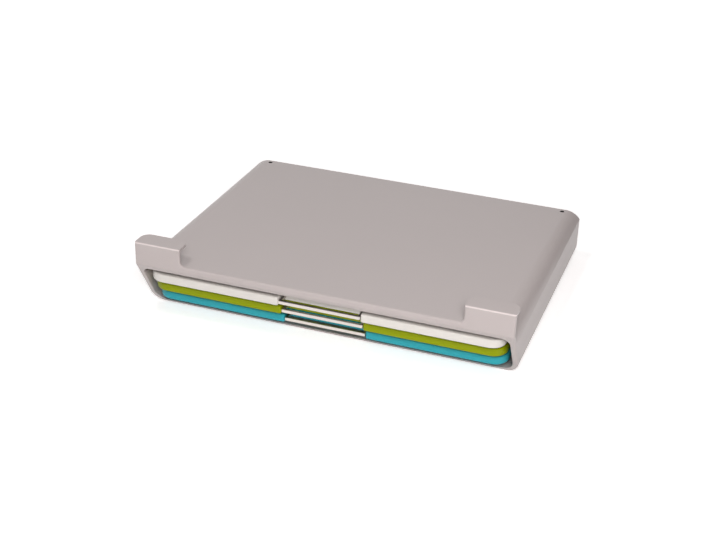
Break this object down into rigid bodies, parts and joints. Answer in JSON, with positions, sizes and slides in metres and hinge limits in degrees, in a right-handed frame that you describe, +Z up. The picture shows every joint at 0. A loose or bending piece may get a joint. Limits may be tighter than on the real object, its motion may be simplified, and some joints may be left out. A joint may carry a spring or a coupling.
{
  "type": "cutting board set in a hanging storage case",
  "caption": "Flat storage case with a slanted mouth and over-door hooks, holding colour-coded cutting boards that pull out by steel finger bars in their notched fronts.",
  "frame": {"origin": "middle of the footprint, on the outer face the case lies on", "axes": "+X along the mouth, to the right when the boards are pulled towards the user; +Y from the mouth to the closed end; +Z up, from the outer face to the face that lies against the door"},
  "size_m": [0.3706, 0.2918, 0.0778],
  "materials": {
    "case_plastic": "satin moulded plastic, warm grey",
    "runner_plastic": "smooth moulded plastic, grey",
    "soft_pad": "soft, matt",
    "fastener_steel": "plain",
    "handle_steel": "satin, bright edges",
    "white_board": "fine matt cutting surface",
    "green_board": "fine matt cutting surface",
    "teal_board": "fine matt cutting surface"
  },
  "bodies": {
    "case": {"mouth_frame": "case_plastic", "cover_panel": "case_plastic", "case_tray": "case_plastic", "case_screws": "fastener_steel", "hook_pad_left": "soft_pad", "hook_pad_right": "soft_pad", "rear_stop_left": "soft_pad", "rear_stop_right": "soft_pad", "base_runner_left": "runner_plastic", "base_runner_right": "runner_plastic", "lower_runner_left": "runner_plastic", "lower_runner_right": "runner_plastic", "upper_runner_left": "runner_plastic", "upper_runner_right": "runner_plastic", "top_keeper_left": "runner_plastic", "top_keeper_right": "runner_plastic"},
    "teal_board": {"teal_cutting_board": "teal_board", "teal_board_handle": "handle_steel", "teal_handle_pins": "fastener_steel"},
    "green_board": {"green_cutting_board": "green_board", "green_board_handle": "handle_steel", "green_handle_pins": "fastener_steel"},
    "white_board": {"white_cutting_board": "white_board", "white_board_handle": "handle_steel", "white_handle_pins": "fastener_steel"}
  },
  "joints": [
    {"name": "teal_board_slide", "type": "slide", "parent": "case", "child": "teal_board", "axis": [0, -1, 0], "range_m": [0, 0.3]},
    {"name": "green_board_slide", "type": "slide", "parent": "case", "child": "green_board", "axis": [0, -1, 0], "range_m": [0, 0.3]},
    {"name": "white_board_slide", "type": "slide", "parent": "case", "child": "white_board", "axis": [0, -1, 0], "range_m": [0, 0.3]}
  ]
}
